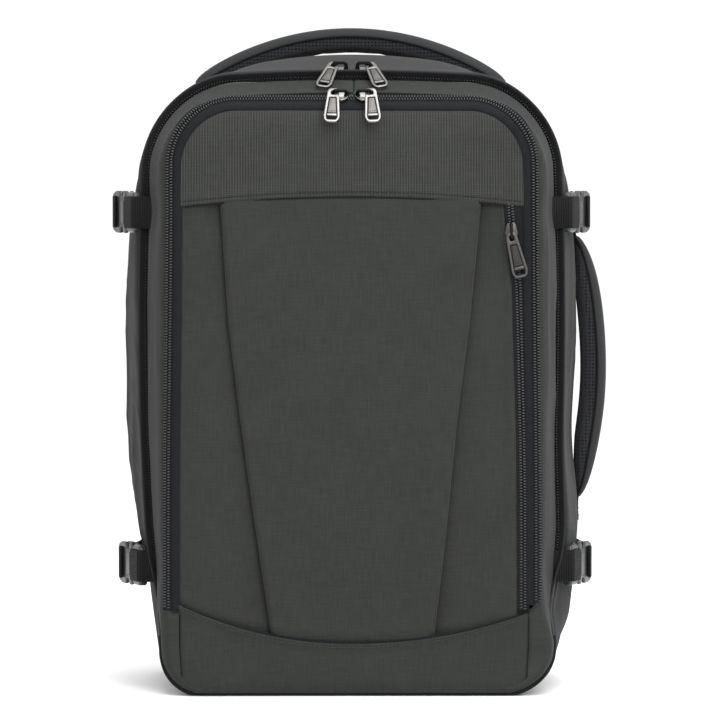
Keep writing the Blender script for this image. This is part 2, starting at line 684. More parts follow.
GUSSET_SEAM_X = 1.5
SEAM_CORD = [(0.75 * math.cos(a), 0.6 * math.sin(a)) for a in np.linspace(2 * math.pi, 0, 9)[:-1]]


def front_gusset():
    """The band between the pocket zip and the main zip; it wraps onto the front face under the zip's ends."""
    u = np.concatenate([-np.linspace(0.155, 0.9999, 330), np.linspace(0.9999, 0.155, 330)])
    slant = zip_slant(outline(-57, u)[:, 2])
    back = np.minimum(split_y(outline(-57, u)[:, 2]) - mix(2.6, 3.4, slant), -58)
    front = np.full(len(u), -105.0)
    for _ in range(6):
        at = outline(front, u)
        front = np.minimum(front_y(at[:, 0], at[:, 2]), back - 3)
    v = np.concatenate([np.linspace(0, 0.3, 12)[:-1], np.linspace(0.3, 1, 16)])[:, None]
    p = outline(mix(front[None], back[None], v), u[None])
    edge = p[0]
    inner = edge.copy()
    flat = low_edge_x(edge[:, 2], u)
    deep = 1.6 * smooth(63, 68, edge[:, 2])
    inner[:, 0] = np.sign(u) * np.minimum(np.abs(edge[:, 0]) - 1.8, flat - 3.5 * smooth(63, 68, edge[:, 2]))
    inner[:, 2] += 2.0 * smooth(45, 15, edge[:, 2])
    shrink = smooth(400, 440, edge[:, 2])
    inner[:, 2] -= 3.5 * shrink
    rows = [mix(inner, edge, k) + [0, 1, 0] * (deep * (1 - k))[:, None] for k in (0, 0.3, 0.6, 0.85)]
    p = np.concatenate([np.array(rows), p])
    n = grid_normals(p)
    z, x = p[..., 2], p[..., 0]
    middle = np.concatenate([np.zeros((4, 1)), np.sin(np.pi * np.clip(v, 0.02, 1)) ** 0.8])
    on_side = smooth(450, 400, z) * smooth(20, 60, z)
    strong = np.where(x > 0, 1.0, 0.6)
    lift = middle * on_side * strong * (1.6 * noise(p, (80, 40, 42), 21)
            + 2.2 * (crease(p + [0, 0, 0.9] * p[..., 1:2], (300, 22, 70), 22) - 0.3))
    lift += middle * smooth(440, 470, z) * 0.8 * noise(p, (50, 30, 60), 23)
    lift -= 2.0 * middle * np.exp(-((z - 375) / 16) ** 2) + 2.0 * middle * np.exp(-((z - 98) / 16) ** 2)
    lift -= 3.6 * slant[None, :] * np.exp(-(back[None, :] - p[..., 1]) / 4.0)
    lift -= 0.8 * smooth(450, 470, z) * np.exp(-((x - GUSSET_SEAM_X) / 1.2) ** 2)
    p = p + n * lift[..., None]
    k = int(np.argmin(np.abs(p[-1, :, 0] - GUSSET_SEAM_X) + 9 * (p[-1, :, 2] < 300)))
    line, out = even(p[5:, k] + n[5:, k] * 0.1, n[5:, k], 3)
    strip("gusset_seam", "lid", line, frames_of(line, out), SEAM_CORD, BINDING, slot="zip_tape")
    uv = np.stack([np.broadcast_to(u * 830, p.shape[:2]), p[..., 1]], -1)
    sheet("front_gusset", ("root", "lid"), p, 2.2, FABRIC, LINING, uv, blend=LID_BLEND,
          replaces="lid_gusset", slot="fabric_main")


front_gusset()


def smile_z(x):
    """Height of the curved seam above the bottom panel."""
    return 41 + np.where(x < 0, 30, 23) * (np.abs(x) / 134) ** 2.1


def bottom_panel():
    s = np.linspace(-1, 1, 120)[None, :]
    t = 1 - (1 - np.linspace(0, 1, 44)[:, None]) ** 1.7
    z = 2 + (smile_z(s * 134) - 2) * t
    x = s * (low_edge_x(z, s) - 0.4)
    z = 2 + (smile_z(x) - 2) * t
    under = np.clip((12 - z) / 12, 0, 1)
    tuck = 5.0 * under ** 2
    corner = smooth(0.9, 1.0, np.abs(s)) * 4 * smooth(40, 5, z)
    z = z + corner
    below = smile_z(x) - z
    lift = (0.8 + 1.3 * np.exp(-(below / 4.5) ** 2) - 1.5 * np.exp(-below / 0.35)
            + 0.7 * noise(np.stack([x, 0 * x, z], -1), (46, 1, 24), 31))
    lift = lift - 1.5 * smooth(0.97, 1, np.abs(s))
    p = front_point(x, z, lift)
    p[..., 1] += tuck
    uv = np.stack([x, z], -1)
    sheet("bottom_panel", ("root", "lid"), p, 2.0, FABRIC, FABRIC, uv, blend=LID_BLEND,
          replaces="lid_lower_panel", slot="fabric_main")
    x = np.linspace(-131, 131, 200)
    z = smile_z(x) - 3.2
    stitches("bottom_stitch", ("root", "lid"), front_point(x, z, 1.95), front_normal(x, z), THREAD,
             blend=LID_BLEND)
    z = smile_z(x) + 0.55
    p, n = even(front_point(x, z, 0.55), front_normal(x, z), 3)
    strip("bottom_seam", ("root", "lid"), p, frames_of(p, n), SEAM_CORD, BINDING, blend=LID_BLEND,
          slot="zip_tape")


bottom_panel()


def bottom_binding():
    """Black bound edge from the main zip's ends round the lower corners and along the bottom."""
    u = np.concatenate([-np.linspace(0.235, 0.001, 220), np.linspace(0.001, 0.235, 220)])
    z = outline(-95, u)[:, 2]
    y = np.minimum(split_y(z), -84.0) - 1.5
    p = outline(y, u)
    p[:, 1] = np.maximum(p[:, 1], -101.5)
    p[:, 2] = np.maximum(p[:, 2], 2.4)
    n = skin_at(y, u)[1]
    n = unit(n + [0, -0.9, 0] * smooth(40, 8, z)[:, None])
    p, n = even(p, n, 3)
    a = np.linspace(0, 2 * math.pi, 11)[:-1]
    profile = np.stack([3.4 * np.cos(a), 0.2 + 2.0 * np.sin(a)], -1)[::-1]
    strip("bottom_binding", "root", p, frames_of(p, n), profile, BINDING, slot="zip_tape")


bottom_binding()

# ------------------------------------------------------------------ the pocket's cover

def yoke_z(x):
    return 380 + 8 * (1 - (x / 135) ** 2)


def pleat_x(side, z):
    if side < 0:
        return np.interp(z, (45, 95, 150, 212, 289, 380), (-62.5, -70, -78, -86.5, -96, -102))
    return np.interp(z, (45, 123, 212, 289, 380), (63.5, 72.5, 81, 91, 99.5))


def side_zip_x(z):
    return np.interp(z, (78, 157, 200, 317, 361, 377), (132.6, 132.3, 131.6, 128.6, 124.0, 122.4))


def cover_top(x):
    """Height of the cover's upper edge inside the binding."""
    half, radius, top = POCKET["half"] - 9, POCKET["radius"] - 9, POCKET["top"] - 9
    d = np.clip(np.abs(x) - (half - radius), 0, radius)
    return top - radius + np.sqrt(np.maximum(radius ** 2 - d ** 2, 0))


COVER_HALF = POCKET["half"] - 9
COVER_BODIES = ("lid", "flap")


def front_panel(name, left, right, low, high, lift, thick, material, columns, rows, **how):
    """Panel of the cover between two side lines x(z) and two edges z(x).

    lift takes x, z and the shares across and up.
    """
    s = np.linspace(0, 1, columns)[None, :]
    t = np.linspace(0, 1, rows)[:, None]
    z = mix(75, 380, t) + 0 * s
    for _ in range(4):
        x = mix(left(z), right(z), s)
        z = mix(low(x), high(x), t)
    p = front_point(x, z, lift(x, z, s + 0 * t, t + 0 * s))
    sheet(name, how.pop("body", COVER_BODIES), p, thick, material, LINING, np.stack([x, z], -1),
          blend=how.pop("blend", FLAP_BLEND), **how)


def wavelet(x, z, size, seed):
    return noise(np.stack([x, 0 * x, z], -1), size, seed)


def centre_lift(x, z, s, t):
    width = np.minimum(x - pleat_x(-1, z), pleat_x(1, z) - x)
    rolled = 2.8 * (1 - np.exp(-np.maximum(width, 0) / 1.6)) - 1.5 * smooth(4, 50, width)
    return (rolled + 0.9 * wavelet(x, z, (60, 1, 90), 41) + 0.35 * wavelet(x, z, (22, 1, 40), 42)
            - 1.2 * smooth(0.985, 1, t) - 3.0 * smooth(7, 0.5, z - smile_z(x)))


front_panel("cover_centre", lambda z: pleat_x(-1, z), lambda z: pleat_x(1, z), lambda x: smile_z(x) - 3,
            lambda x: yoke_z(x) + 1.5,
            centre_lift, 1.8, FABRIC, 130, 150, replaces="flap_centre_panel", slot="fabric_main")


def recess(x, z, t, side):
    """Side panels sink beside the centre fold, rise to the binding, and are sewn up to the fold's inside."""
    inwards = (x - pleat_x(side, z)) * side
    sunk = -5.4 * np.exp(-np.maximum(inwards, 0) / 15.0) - 1.6 * smooth(7, 0.5, z - smile_z(x))
    own = 0.4 + sunk + 0.6 * wavelet(x, z, (30, 1, 70), 43 + side)
    return mix(own, centre_lift(x, z, 0.5, t) - 0.9, smooth(1, 8, -inwards))


front_panel("cover_side_left", lambda z: -COVER_HALF * spread(z), lambda z: pleat_x(-1, z) + 9,
            lambda x: smile_z(x) - 3, lambda x: yoke_z(x) + 1.5,
            lambda x, z, s, t: recess(x, z, t, -1) - 0.8 * smooth(0.03, 0, s), 1.6, FABRIC, 60, 150,
            replaces="flap_side_left", slot="fabric_main")
front_panel("cover_side_right", lambda z: pleat_x(1, z) - 9, lambda z: side_zip_x(z) - 4.6,
            lambda x: smile_z(x) - 3, lambda x: yoke_z(x) + 1.5,
            lambda x, z, s, t: recess(x, z, t, 1) + 1.0 * smooth(0.8, 0.97, s) - 0.9 * smooth(0.975, 1, s),
            1.6, FABRIC, 60, 150, replaces="flap_side_right", slot="fabric_main")


def yoke():
    """Ribbed yoke: its lower edge is a fold that lies over the panels."""
    s = np.sin(np.linspace(-1, 1, 150) * math.pi / 2)[None, :]
    t = np.linspace(0, 1, 60)[:, None] ** 1.5
    x = s * (COVER_HALF - 0.02) + 0 * t
    z = mix(yoke_z(x), cover_top(x), t)
    up = z - yoke_z(x)
    lift = 2.3 - 1.1 * np.exp(-up / 0.9) - 0.7 * smooth(2, 14, up) - 0.9 * smooth(3, 0, cover_top(x) - z)
    lift = lift + 0.45 * wavelet(x, z, (60, 1, 30), 51) - 0.6 * np.exp(-((up - 3.2) / 0.8) ** 2)
    sheet("cover_yoke", "flap", front_point(x, z, lift), 2.0, YOKE, LINING, np.stack([x, z], -1),
          replaces="flap_yoke", slot="fabric_yoke")
    x = np.linspace(-129, 129, 240)
    z = yoke_z(x) + 3.2
    stitches("yoke_stitch", "flap", front_point(x, z, 2.15), front_normal(x, z), DARK_THREAD)
    z = yoke_z(x) - 0.8
    p, n = even(front_point(x, z, 1.0), front_normal(x, z), 3)
    strip("yoke_seam", "flap", p, frames_of(p, n), SEAM_CORD, BINDING, slot="zip_tape")


yoke()


def cover_binding():
    """Smooth band between the zip and the panels of the cover."""
    p, n = pocket_line(6.6, 0.5, 66, 71)
    p, n = even(p, n, 3)
    a = np.linspace(0, 2 * math.pi, 15)[:-1]
    profile = np.stack([3.3 * np.sign(np.cos(a)) * np.abs(np.cos(a)) ** 0.7, 0.2 + 1.5 * np.sin(a)], -1)[::-1]
    strip("cover_binding", COVER_BODIES, p, frames_of(p, n), profile, BINDING, slot="zip_tape",
          blend=FLAP_BLEND)


cover_binding()


def facing_lift(x, z, s, t):
    """The facing is flat under the zip and swells beside it."""
    return -0.9 + 1.9 * smooth(2.8, 4.4, x - side_zip_x(z))


def side_zip():
    """The side-access zip on its dark tape, from under the yoke to just above the seam."""
    z = np.linspace(384, 67, 160)
    x = side_zip_x(z)
    p, n = front_point(x, z, 0.2), front_normal(x, z)
    for way, word in ((1, "outer"), (-1, "inner")):
        zip_half(f"side_zip_{word}", p, n, way, COVER_BODIES, TAPE, 4.6, "zip_tape",
                 "side_pocket_zip" if way > 0 else (), FLAP_BLEND, 0.7)
    front_panel("side_zip_facing", lambda z: side_zip_x(z) - 8, lambda z: COVER_HALF * spread(z) + 2.6,
                lambda x: smile_z(x) - 1, lambda x: yoke_z(x) + 1.5, facing_lift, 1.3, BINDING, 24, 120,
                slot="zip_tape")


side_zip()

# ------------------------------------------------------------------ hardware, set on the CAD pieces' own axes

def plate(outline_points, holes, thick, bevel, name, material, segments=2):
    """Flat plate cut from an outline with holes, edges rounded; Z is its thickness."""
    curve = bpy.data.curves.new(name, "CURVE")
    curve.dimensions = "2D"
    curve.fill_mode = "BOTH"
    curve.extrude = (thick / 2 - bevel) * MM
    curve.bevel_depth = bevel * MM
    curve.bevel_resolution = segments
    for points in [outline_points, *holes]:
        spline = curve.splines.new("POLY")
        spline.points.add(len(points) - 1)
        for point, (x, y) in zip(spline.points, points):
            point.co = (x * MM, y * MM, 0, 1)
        spline.use_cyclic_u = True
    temp = bpy.data.objects.new(name + "_curve", curve)
    bpy.context.scene.collection.objects.link(temp)
    bpy.context.view_layer.update()
    mesh = bpy.data.meshes.new_from_object(temp.evaluated_get(bpy.context.evaluated_depsgraph_get()))
    bpy.data.objects.remove(temp)
    work = bmesh.new()
    work.from_mesh(mesh)
    bmesh.ops.remove_doubles(work, verts=work.verts, dist=1e-6)
    work.to_mesh(mesh)
    work.free()
    mesh.materials.clear()
    mesh.materials.append(material)
    while mesh.uv_layers:
        mesh.uv_layers.remove(mesh.uv_layers[0])
    layer = mesh.uv_layers.new(name="weave")
    layer.data.foreach_set("uv",
            np.array([mesh.vertices[loop.vertex_index].co[:2] for loop in mesh.loops], np.float32).ravel())
    return mesh


def rounded(points, radius, steps=4):
    """Corners of a polygon rounded by a quadratic bend."""
    out = []
    pts = np.asarray(points, float)
    for k, p in enumerate(pts):
        a, b = pts[k - 1] - p, pts[(k + 1) % len(pts)] - p
        r = min(radius, np.linalg.norm(a) * 0.48, np.linalg.norm(b) * 0.48)
        start, end = p + unit(a) * r, p + unit(b) * r
        for t in np.linspace(0, 1, steps + 1):
            out.append((1 - t) ** 2 * start + 2 * t * (1 - t) * p + t * t * end)
    return [tuple(v) for v in out]


def circle(cx, cy, rx, ry=None, steps=12):
    return [(cx + rx * math.cos(a), cy + (ry or rx) * math.sin(a))
            for a in np.arange(steps) * 2 * math.pi / steps]


def join_meshes(name, parts, *materials):
    """One mesh from (mesh, 3x3 matrix, offset, material number) parts, in mm, in a local frame."""
    work = bmesh.new()
    for mesh, basis, offset, *which in parts:
        start, first = len(work.verts), len(work.faces)
        work.from_mesh(mesh)
        work.verts.ensure_lookup_table()
        work.faces.ensure_lookup_table()
        for v in work.verts[start:]:
            v.co = Vector(np.asarray(basis) @ np.array(v.co) + np.asarray(offset) * MM)
        for f in work.faces[first:]:
            f.material_index = which[0] if which else 0
    bmesh.ops.recalc_face_normals(work, faces=work.faces)
    mesh = bpy.data.meshes.new(name)
    work.to_mesh(mesh)
    work.free()
    for material in materials:
        mesh.materials.append(material)
    mesh.polygons.foreach_set("use_smooth", [True] * len(mesh.polygons))
    return mesh


def put(name, mesh, body, origin, x_axis, y_axis, replaces=(), slot=None, **how):
    """A mesh placed with its own X and Y along two directions."""
    x = unit(np.asarray(x_axis, float))
    y = np.asarray(y_axis, float)
    y = unit(y - x * (x @ y))
    basis = np.stack([x, y, np.cross(x, y)], 1)
    co = np.array([v.co for v in mesh.vertices], float) @ basis.T + np.asarray(origin) * MM
    fresh = mesh.copy()
    fresh.vertices.foreach_set("co", co.astype(np.float32).ravel())
    fresh.update()
    obj = bpy.data.objects.new(name, fresh)
    bpy.context.scene.collection.objects.link(obj)
    auto_smooth(fresh, 40)
    settle(obj, body, replaces)
    return obj


def auto_smooth(mesh, degrees):
    mesh.polygons.foreach_set("use_smooth", [True] * len(mesh.polygons))
    mesh.set_sharp_from_angle(angle=math.radians(degrees))


FLAT = np.eye(3)
STAND = np.array([[1, 0, 0], [0, 0, -1], [0, 1, 0]])    # a plate's Y becomes Z


def slider_mesh(metal):
    body = plate(rounded([(-6, -3), (2, -4.5), (6, -1.7), (6, 1.7), (2, 4.5), (-6, 3)], 1.6), [], 2.4, 0.7,
                 "slider_plate", metal)
    rail = plate(rounded([(-5.4, -0.45), (2.2, -0.45), (2.2, 0.45), (-5.4, 0.45)], 0.3), [], 2.6, 0.2,
                 "slider_rail", metal)
    arch = rounded([(-6, 2.2), (-6, 6.6), (-4.2, 8.6), (4.2, 8.6), (6, 6.6), (6, 2.2), (4.2, 2.2),
                    (4.2, 6.2), (3.2, 7.0), (-3.2, 7.0), (-4.2, 6.2), (-4.2, 2.2)], 0.9)
    bail = plate(arch, [], 1.9, 0.55, "slider_bail", metal)
    post = plate(circle(0, 0, 1.5, 1.2), [], 1.6, 0.3, "slider_post", metal)
    turn = math.radians(24)
    rails = [(rail, np.array([[math.cos(k * turn), -math.sin(k * turn), 0],
            [math.sin(k * turn), math.cos(k * turn), 0], [0, 0, 1]]), (0.6, k * 3.2, -0.2))
             for k in (-0.35, 0.35)]
    return join_meshes("slider",
            [(body, FLAT, (0, 0, 1.5)), (bail, STAND, (0, 0, 0), 1), (post, FLAT, (-5.0, 0, 3.1), 1),
             (post, FLAT, (5.0, 0, 3.1), 1), *rails],
                       metal, DARK_METAL)


def puller_mesh(metal, panel_metal):
    """Long puller: an eye, a rim round a sunk dark panel, a plate with three small holes, a bar and a slot."""
    end = -31.0
    outer = rounded([(-2.6, 4), (-3.9, 1.8), (-5.9, end + 4.4), (-4.2, end), (4.2, end), (5.9, end + 4.4),
                     (3.9, 1.8), (2.6, 4)], 2.2)
    eye = rounded([(-2.2, -2.6), (2.2, -2.6), (2.2, 2.3), (-2.2, 2.3)], 1.4)
    slot = rounded([(-3.6, end + 1.9), (3.6, end + 1.9), (3.8, end + 5.4), (-3.8, end + 5.4)], 1.2)
    window = rounded([(-3.2, -4.4), (-4.9, end + 4.2), (-3.7, end + 1.1), (3.7, end + 1.1),
                      (4.9, end + 4.2), (3.2, -4.4)], 1.4)
    base = plate(outer, [eye, slot], 1.2, 0.3, "puller_base", metal)
    rim = plate(outer, [eye, window], 2.0, 0.45, "puller_rim", metal)
    dots = [circle(x, end + 11.0, 0.55, steps=8) for x in (-1.9, 0, 1.9)]
    inner = plate(rounded([(-1.9, -6.2), (-3.1, end + 9.4), (3.1, end + 9.4), (1.9, -6.2)], 0.7), dots, 1.7,
                  0.2, "puller_panel", metal)
    bar = plate(rounded([(-3.6, end + 6.4), (3.6, end + 6.4), (3.5, end + 8.0), (-3.5, end + 8.0)], 0.6),
                [], 1.8, 0.3, "puller_bar", metal)
    parts = [(base, FLAT, (0, 0, 0), 1), (rim, FLAT, (0, 0, 0), 0), (inner, FLAT, (0, 0, 0), 2),
             (bar, FLAT, (0, 0, 0), 0)]
    return join_meshes("puller", parts, metal, DARK_METAL, panel_metal)


slider, puller = slider_mesh(METAL), puller_mesh(METAL, PANEL_METAL)
side_head, side_puller = slider_mesh(SIDE_METAL), puller_mesh(SIDE_METAL, SIDE_PANEL_METAL)


def turned(axis, angle, v):
    axis, v = unit(np.asarray(axis, float)), np.asarray(v, float)
    c, s = math.cos(math.radians(angle)), math.sin(math.radians(angle))
    return v * c + np.cross(axis, v) * s + axis * (axis @ v) * (1 - c)


def up_from_back(degrees):
    return np.array([0, math.cos(math.radians(degrees)), math.sin(math.radians(degrees))])


def top_pair(kind, y, z, tilt, drop, splay):
    for side, word in SIDES:
        at = np.array([side * 9.5, y, z])
        across = up_from_back(tilt)
        out = np.cross([1, 0, 0], across)
        put(f"{kind}_zip_slider_{word}", slider, f"{kind}_slider_{word}", at, [-side, 0, 0], -side * across,
            f"{kind}_slider_{word}", "zip_metal")
        hook = at + out * 5.2 + [side * 5.1, 0, 0]
        up = up_from_back(drop)
        face = np.cross([1, 0, 0], up)
        put(f"{kind}_zip_puller_{word}", puller, f"{kind}_puller_{word}", hook,
            turned(face, side * splay, [1, 0, 0]),
            turned(face, side * splay, up), f"{kind}_puller_{word}", "zip_metal")


top_pair("main", y=-55.3, z=484.6, tilt=20, drop=34, splay=16)
top_pair("pocket", y=-92.6, z=464.3, tilt=45, drop=46, splay=3)


def side_slider():
    down = unit(np.array([10.0, 0, -299.0]))
    out = np.array([0, -1.0, 0])
    x = mix(129.5, 119.5, 283 / 299)
    at = np.array([x + 3, float(front_y(x, 361.0)) - 1.9, 361.0])
    put("side_zip_slider", side_head, "side_slider", at, down, np.cross(out, down), "side_slider",
        "zip_metal")
    up = turned(out, 12, -down)
    put("side_zip_puller", side_puller, "side_puller", at + out * 5.2 + down * 5.1, np.cross(up, out), up,
        "side_puller", "zip_metal")


side_slider()

# ------------------------------------------------------------------ compression straps

def wall_x(y, z, side=1):
    """Half-width of the body on one side at a height, up over the shoulder's round."""
    p = outline(y, side * np.linspace(0.2, 0.84, 300))
    return float(np.interp(z, p[:, 2], side * p[:, 0]))


def buckle_meshes():
    """Side-release buckle in its own frame: Y back along the strap, Z across the webbing, X out of the bag."""
    # a plate's X becomes Z, its thickness becomes X
    side_on = np.array([[0, 0, 1], [0, 1, 0], [1, 0, 0]])
    half = 14.0
    base = rounded([(-half, 1.2), (-half + 2.4, 0), (half - 2.4, 0), (half, 1.2), (half, 15.2),
                    (half - 2.6, 17.6), (2.6 - half, 17.6), (-half, 15.2)], 2.4)
    bar_slot = rounded([(-12.8, 4), (12.8, 4), (12.8, 8), (-12.8, 8)], 1.2)
    body = plate(base, [bar_slot], 7.0, 1.7, "plug_body", PLASTIC, 3)
    tongue = plate(rounded([(-2.6, 16), (2.6, 16), (2.2, 26.4), (-2.2, 26.4)], 1.0), [], 3.2, 0.6,
                   "plug_tongue", PLASTIC)
    parts = [(body, side_on, (0, 0, 0)), (tongue, side_on, (0, 0, 0))]
    for way in (-1, 1):
        prong = rounded([(way * 9.0, 16), (way * 12.6, 16), (way * 14.6, 21), (way * 14.4, 26.0),
                         (way * 11.6, 28.2), (way * 9.6, 26.5)], 1.2)
        parts.append((plate(prong[::way], [], 3.4, 0.7, "plug_prong", PLASTIC), side_on, (0, 0, 0)))
    plug = join_meshes("plug", parts, PLASTIC)
    near, far, wide = 18.0, 49.9, 15.5
    shell = [(-wide + 1.2, near), (wide - 1.2, near), (wide, near + 2.4)]
    notch = [(wide, near + 5.2), (wide - 4.4, near + 7.0), (wide - 5.2, near + 10.2),
             (wide - 4.4, near + 13.4), (wide, near + 15.2)]
    shell += notch + [(wide, far - 7), (wide - 2.2, far)]
    shell += [(-x, y) for x, y in shell[:1:-1]]
    slot_a = rounded([(-12.8, far - 9), (12.8, far - 9), (12.8, far - 4.5), (-12.8, far - 4.5)], 1.0)
    faces = []
    for k in (-1, 1):
        faces.append((plate(rounded(shell, 1.6), [slot_a], 3.0, 1.1, "socket_face", PLASTIC, 3), side_on,
                      (k * 2.5, 0, 0)))
    core = rounded([(-wide + 4.6, near + 13.6), (wide - 4.6, near + 13.6), (wide - 1.4, near + 17),
                    (wide - 2, far - 1), (-wide + 2, far - 1), (-wide + 1.4, near + 17)], 1.4)
    faces.append((plate(core, [slot_a], 6.2, 0.6, "socket_core", PLASTIC), side_on, (0, 0, 0)))
    ridge = plate(rounded([(-9, near + 3.0), (9, near + 3.0), (7.6, near + 12), (-7.6, near + 12)], 2.4),
                  [], 1.2, 0.5, "socket_ridge", PLASTIC)
    faces.append((ridge, side_on, (4.2, 0, 0)))
    return plug, join_meshes("socket", faces, PLASTIC)


plug_mesh, socket_mesh = buckle_meshes()


def flat_strip(name, body, points, half, thick, material, **how):
    """Webbing seen in plan: points are (x, y), it stands on edge round a height z."""
    z = how.pop("z")
    side = how.pop("side")
    p = resample(np.array([(x, y, z) for x, y in points], float), 0.9)
    t = unit(np.gradient(p, axis=0))
    n = unit(np.cross(t, [0, 0, 1.0])) * side
    edge = [(-half, 0), (-half + 0.5, thick / 2), (half - 0.5, thick / 2), (half, 0),
            (half - 0.5, -thick / 2), (-half + 0.5, -thick / 2)]
    strip(name, body, p, frames_of(p, n), edge, material, **how)


def arc(points, corner=6):
    """A path through points with its corners rounded."""
    pts = np.asarray(points, float)
    out = [pts[0]]
    for a, b, c in zip(pts, pts[1:], pts[2:]):
        r = min(corner, np.linalg.norm(a - b) * 0.45, np.linalg.norm(c - b) * 0.45)
        start, end = b + unit(a - b) * r, b + unit(c - b) * r
        out += [(1 - t) ** 2 * start + 2 * t * (1 - t) * b + t * t * end for t in np.linspace(0, 1, 7)]
    return np.array(out + [pts[-1]])


def compression_strap(level, z, side, word):
    tag = f"{level}_{word}"
    wide_z = z + math.copysign(12.5, WIDEST_Z - z)
    x0, angle = wall_x(-63, wide_z, side) + 7.6, math.radians(20)
    forward = np.array([side * math.sin(angle), math.cos(angle), 0])
    outwards = np.array([side * math.cos(angle), -math.sin(angle), 0])
    origin = np.array([side * x0, -63, z])
    put(f"strap_plug_{tag}", plug_mesh, f"plug_{tag}", origin, outwards, forward, f"buckle_plug_{tag}",
        "buckle_plastic")
    put(f"strap_socket_{tag}", socket_mesh, "root", origin, outwards, forward, f"buckle_socket_{tag}",
        "buckle_plastic")

    def on_wall(y, off):
        return side * (wall_x(y, wide_z, side) + off), y

    def along(d, off):
        return tuple((origin + forward * d + outwards * off)[:2])

    near = arc([on_wall(-74, -4.5), on_wall(-67, -2.6), along(-3.0, -1.5), along(-0.6, 4.6),
                along(16.4, 4.9), along(17.4, 4.0), along(16.0, 3.4)], 2.4)
    flat_strip(f"front_strap_{tag}", ("lid", f"plug_{tag}"), near, 12.5, 1.6, WEB, z=z, side=side,
               slot="webbing",
               blend=((side * x0, -72, z), tuple(origin + forward * -2)), replaces=f"front_webbing_{tag}")
    far = arc([along(38.5, -3.0), along(46.0, -3.6), along(50.5, -1.0), along(50.0, 3.4), along(43.5, 5.6),
               along(38.0, 6.0)], 2.4)
    flat_strip(f"rear_strap_fold_{tag}", "root", far, 12.4, 1.5, WEB, z=z, side=side, slot="webbing")
    rear = arc([along(40.4, -5.0), along(49, -5.4), along(57, -4.6), on_wall(18, 6), on_wall(30, 3.8),
                on_wall(46, 3.0), on_wall(66, 2.6)], 8)
    flat_strip(f"rear_strap_{tag}", "root", rear, 12.5, 1.6, WEB, z=z, side=side, slot="webbing",
               replaces=f"rear_webbing_{tag}")
    for y, label in ((52, "rear"), (63, "end")):
        zs = np.linspace(z - 10.5, z + 10.5, 30)
        p = np.stack([np.full(30, on_wall(y, 3.9)[0]), np.full(30, y), zs], -1)
        stitches(f"strap_stitch_{label}_{tag}", "root", p, np.tile([side, 0, 0.0], (30, 1)), DARK_THREAD)


for level, z in STRAPS:
    for side, word in SIDES:
        compression_strap(level, z, side, word)

# ------------------------------------------------------------------ padded pieces

def inflate(obj, voxel, cap, pressure=4.0, smooth_after=1):
    """Remeshes a closed pad, swells it as cloth under pressure, and holds each point within a cap."""
    bpy.context.view_layer.objects.active = obj
    remesh = obj.modifiers.new("remesh", "REMESH")
    remesh.mode = "VOXEL"
    remesh.voxel_size = voxel * MM
    apply_modifiers(obj)
    rest = np.array([v.co for v in obj.data.vertices], float)
    cloth = obj.modifiers.new("cloth", "CLOTH")
    cloth.settings.quality = 5
    cloth.settings.use_pressure = True
    cloth.settings.uniform_pressure_force = pressure
    cloth.settings.effector_weights.gravity = 0
    scene = bpy.context.scene
    for f in range(1, 21):
        scene.frame_set(f)
    apply_modifiers(obj)
    moved = np.array([v.co for v in obj.data.vertices], float) - rest
    size = np.linalg.norm(moved, axis=1, keepdims=True)
    moved *= np.minimum(1, cap * MM / np.maximum(size, 1e-9))
    obj.data.vertices.foreach_set("co", (rest + moved).astype(np.float32).ravel())
    scene.frame_set(1)
    subdivide = obj.modifiers.new("subdivide", "SUBSURF")
    subdivide.levels = subdivide.render_levels = smooth_after
    apply_modifiers(obj)
    obj.data.polygons.foreach_set("use_smooth", [True] * len(obj.data.polygons))


def apply_modifiers(obj):
    bpy.context.view_layer.update()
    evaluated = obj.evaluated_get(bpy.context.evaluated_depsgraph_get())
    mesh = bpy.data.meshes.new_from_object(evaluated)
    obj.modifiers.clear()
    old = obj.data
    obj.data = mesh
    bpy.data.meshes.remove(old)


def relieve(obj, move):
    """Moves points by a function of their places in mm: channels and folds, after the cloth."""
    co = np.array([v.co for v in obj.data.vertices], float) / MM
    n = np.array([v.normal for v in obj.data.vertices], float)
    obj.data.vertices.foreach_set("co", ((co + move(co, n)) * MM).astype(np.float32).ravel())
    obj.data.update()


def band(stations, sides=20, power=0.75):
    """Closed band lofted over (centre, wide vector, thick vector) stations."""
    a = (np.arange(sides) + 0.5) * 2 * math.pi / sides
    c, s = (np.sign(f(a)) * np.abs(f(a)) ** power for f in (np.cos, np.sin))
    p = np.array([at + c[:, None] * wide + s[:, None] * thick for at, wide, thick in stations])
    caps = np.array([range(sides)])
    return p.reshape(-1, 3), [grid_faces(len(p), sides, True), caps[:, ::-1], caps + (len(p) - 1) * sides]


def handle_line(at, count=40):
    """Centre line of a handle with its thickness and width shares."""
    t = np.linspace(0, 1, count)
    p = np.array([at(k) for k in t])
    full = 1 - (1 - np.sin(np.pi * t)) ** 3
    return p, unit(np.gradient(p, axis=0)), full


def top_handle_at(t):
    a = math.pi * (1 - t)
    return np.array([124 * math.cos(a), 74, mix(473, 512.4, math.sin(a) ** 2)])


def side_handle_at(t):
    z = mix(355, 145, t)
    off = 5 - 3.2 * math.exp(-min(t, 1 - t) / 0.035)
    return np.array([mix(wall_x(38, z) + off, 194.8, max(0, math.sin(math.pi * t)) ** 1.1), 38, z])


